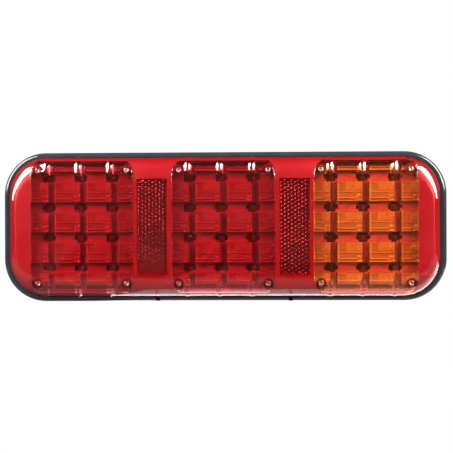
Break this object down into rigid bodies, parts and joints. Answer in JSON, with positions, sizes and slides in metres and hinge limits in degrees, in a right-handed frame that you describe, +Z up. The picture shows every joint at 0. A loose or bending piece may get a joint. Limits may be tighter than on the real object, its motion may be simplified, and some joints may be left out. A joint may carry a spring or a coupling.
{
  "type": "trailer tail light",
  "caption": "Rounded oblong LED rear lamp: red and amber lens over LED modules with retroreflectors between, on a push-fit black mounting base.",
  "frame": {"origin": "centre of the lamp's outline on the back (mounting) face", "axes": "+X along the lamp towards the amber module, +Z up, +Y out of the back towards the vehicle, so the lamp shines along -Y"},
  "size_m": [0.284, 0.056, 0.0954],
  "materials": {
    "black_gloss_abs": "polished black ABS, slightly rounded edges",
    "black_matt_abs": "fine spark-eroded texture",
    "black_nylon": "glass-filled nylon, dull",
    "black_rubber": "moulded rubber",
    "grey_silicone": "soft silicone cord",
    "zinc_steel": "zinc plated",
    "bright_steel": "bright stainless",
    "contact_brass": "plain brass",
    "white_membrane": "expanded membrane",
    "red_acrylic": "clear red acrylic, polished",
    "amber_acrylic": "clear amber acrylic, polished",
    "red_bezel": "solid red moulding behind the lens",
    "reflex_acrylic": "red corner-cube retroreflector",
    "dark_backing": "dark sealed back plate",
    "red_tray": "reflective tray seen through red optics",
    "amber_tray": "reflective tray seen through amber optics",
    "red_optic": "fluted inner optic, red",
    "amber_optic": "fluted inner optic, amber",
    "board_laminate": "fibreglass laminate with dark solder mask",
    "led_package": "surface-mount LED with a clear lens",
    "chip_epoxy": "moulded epoxy",
    "capacitor_can": "drawn can",
    "resistor_ceramic": "thick-film chip",
    "flat_cable": "flat flexible jumper"
  },
  "bodies": {
    "base": {"mounting_base": "black_gloss_abs", "base_gasket": "black_rubber", "mounting_studs": "zinc_steel", "stud_seals": "black_rubber", "cable_grommet": "black_rubber", "socket_block": "black_nylon", "socket_pins": "contact_brass", "peg_bushes": "black_rubber"},
    "lamp_head": {"lamp_housing": "black_matt_abs", "lens_seal": "grey_silicone", "plug_block": "black_nylon", "plug_sleeves": "contact_brass", "breather_membrane": "white_membrane", "red_lens": "red_acrylic", "amber_lens": "amber_acrylic", "inner_bezel": "red_bezel", "reflex_reflector_left": "reflex_acrylic", "reflex_reflector_right": "reflex_acrylic", "reflector_backing_left": "dark_backing", "reflector_backing_right": "dark_backing", "link_cables": "flat_cable", "circuit_board_left": "board_laminate", "leds_left": "led_package", "reflector_tray_left": "red_tray", "optic_plate_left": "red_optic", "module_screws_left": "bright_steel", "driver_chip_left": "chip_epoxy", "capacitors_left": "capacitor_can", "resistors_left": "resistor_ceramic", "circuit_board_centre": "board_laminate", "leds_centre": "led_package", "reflector_tray_centre": "red_tray", "optic_plate_centre": "red_optic", "module_screws_centre": "bright_steel", "driver_chip_centre": "chip_epoxy", "capacitors_centre": "capacitor_can", "resistors_centre": "resistor_ceramic", "circuit_board_right": "board_laminate", "leds_right": "led_package", "reflector_tray_right": "amber_tray", "optic_plate_right": "amber_optic", "module_screws_right": "bright_steel", "driver_chip_right": "chip_epoxy", "capacitors_right": "capacitor_can", "resistors_right": "resistor_ceramic"}
  },
  "joints": [
    {"name": "lamp_head_slide", "type": "slide", "parent": "base", "child": "lamp_head", "axis": [0, -1, 0], "range_m": [0, 0.05]}
  ]
}
